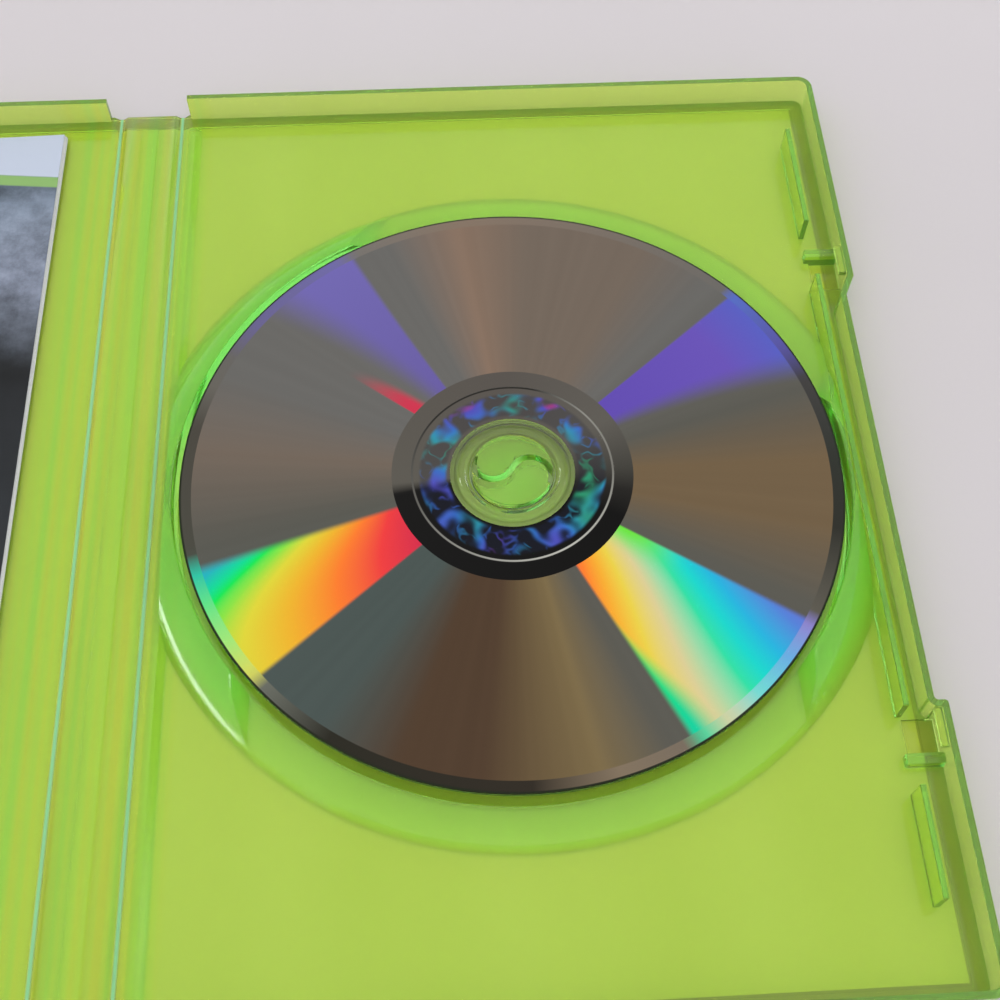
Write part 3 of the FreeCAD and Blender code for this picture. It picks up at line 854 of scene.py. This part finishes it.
def add_booklet():
    """Leaves round a common fold. The inner ones reach out further, and the upper ones have sprung up."""
    low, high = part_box("booklet")
    thickness = high.z - low.z
    pitch = thickness / LEAF_COUNT
    radius = thickness / 2
    work = bmesh.new()
    for i in range(LEAF_COUNT):
        bottom = -radius + i * pitch
        middle = bottom + pitch / 2
        fold = radius - math.sqrt(radius ** 2 - middle ** 2)
        creep = BOOKLET_CREEP * abs(middle) / radius + LEAF_JITTER * math.sin(5.0 * i)
        start = -BOOKLET_WIDTH / 2 + fold
        end = BOOKLET_WIDTH / 2 - creep
        stations = [start, start + radius]
        stations += [LIFT_START + (end - LIFT_START) * k / LIFT_STEPS for k in range(LIFT_STEPS + 1)]
        path = [(x, bottom, bottom + LEAF_SHARE * pitch) for x in stations]
        outside = i in (0, LEAF_COUNT - 1)
        booklet_leaf(work, path, i / (LEAF_COUNT - 1), 0 if outside else 1)
    bmesh.ops.recalc_face_normals(work, faces=work.faces)
    booklet = new_piece("booklet_leaves", work, [booklet_print(), page_paper()])
    booklet.location = (low + high) / 2
    booklet.rotation_euler.z = BOOKLET_TURN
    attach(booklet, "cover")
    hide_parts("booklet")


# Camera, light and floor

def add_camera():
    camera = bpy.data.objects.new("camera", bpy.data.cameras.new("camera"))
    bpy.context.scene.collection.objects.link(camera)
    camera.data.sensor_width = CAMERA_SENSOR_MM
    camera.data.lens = CAMERA_LENS_MM
    camera.data.clip_start = CAMERA_NEAREST
    turn = (Matrix.Rotation(-CAMERA_HEADING, 4, "Z")
            @ Matrix.Rotation(math.pi / 2 - CAMERA_ELEVATION, 4, "X")
            @ Matrix.Rotation(CAMERA_ROLL, 4, "Z"))
    camera.matrix_world = Matrix.Translation(disc_hub + CAMERA_FROM_DISC) @ turn
    bpy.context.scene.camera = camera


def add_sky():
    """A soft, nearly even studio sky, with low bright panels that give the plastic its highlights. Rays find
    it by themselves, which suits its soft light."""
    world = bpy.data.worlds.new("studio")
    bpy.context.scene.world = world
    world.use_nodes = True
    world.cycles.sampling_method = "NONE"
    shading = SkyShading(world)
    x, y, z = shading.parts(shading.node("ShaderNodeTexCoord").outputs["Generated"])
    heading = shading.math("WRAP", shading.math("DEGREES", shading.math("ARCTAN2", y, x)), 360.0, 0.0)
    level = shading.spread(shading.step(z, 0.2, 0.9), SKY_LOW, SKY_HIGH)
    for middle, half_width, low, high, strength in SKY_PANELS:
        start, end = middle - half_width, middle + half_width
        wide = shading.between(heading, start, end, PANEL_SOFT_DEGREES, PANEL_SOFT_DEGREES)
        tall = shading.between(z, low, high, PANEL_SOFT_SINE, PANEL_SOFT_SINE)
        level = shading.math("MULTIPLY_ADD", shading.math("MULTIPLY", wide, tall), strength, level)
    shading.set(Color=(0.97, 0.98, 1.0, 1.0), Strength=level)


def add_floor():
    work = bmesh.new()
    bmesh.ops.create_grid(work, x_segments=1, y_segments=1, size=FLOOR_HALF)
    floor = new_piece("floor", work, [pale_floor()])
    floor.location.z = -FLOOR_DROP


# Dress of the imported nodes

def sharp_edges(mesh):
    """The edges at which two faces meet at a sharp angle, also where their corners aren't shared."""
    places = {}
    for edge in mesh.edges:
        ends = [mesh.vertices[k].co for k in edge.vertices]
        places[edge.key] = frozenset(tuple(round(v / WELD_REACH) for v in end) for end in ends)
    normals_at = {}
    for face in mesh.polygons:
        for key in face.edge_keys:
            normals_at.setdefault(places[key], []).append(face.normal)
    found = []
    for edge in mesh.edges:
        normals = normals_at[places[edge.key]]
        if len(normals) == 2 and normals[0].angle(normals[1], 0.0) > SHARP_ANGLE:
            found.append(edge)
    return found


def soften(node, above):
    """Smooth shading between sharp edges, with small round edges that catch the light above a height."""
    mesh = node.data
    for face in mesh.polygons:
        face.use_smooth = True
    weights = mesh.attributes.new("bevel_weight_edge", "FLOAT", "EDGE")
    for edge in sharp_edges(mesh):
        edge.use_edge_sharp = True
        if min(mesh.vertices[k].co.z for k in edge.vertices) > above:
            weights.data[edge.index].value = 1.0
    weld = node.modifiers.new("weld", "WELD")
    weld.merge_threshold = WELD_REACH
    bevel = node.modifiers.new("bevel", "BEVEL")
    bevel.width = EDGE_ROUND
    bevel.segments = EDGE_SEGMENTS
    bevel.limit_method = "WEIGHT"
    bevel.use_clamp_overlap = False
    bevel.harden_normals = True


def give_material(node, material):
    node.data.materials.clear()
    node.data.materials.append(material)


def dress_nodes():
    plastic = green_plastic()
    for name, above in ROUNDED_ABOVE.items():
        give_material(frame["nodes"][name], plastic)
        soften(frame["nodes"][name], above)
    give_material(frame["nodes"]["booklet_staples"], staple_steel())


bpy.context.scene.view_settings.view_transform = "Standard"
add_camera()
add_sky()
add_floor()
dress_nodes()
add_disc_body()
add_disc_middle()
add_sheets()
add_booklet()
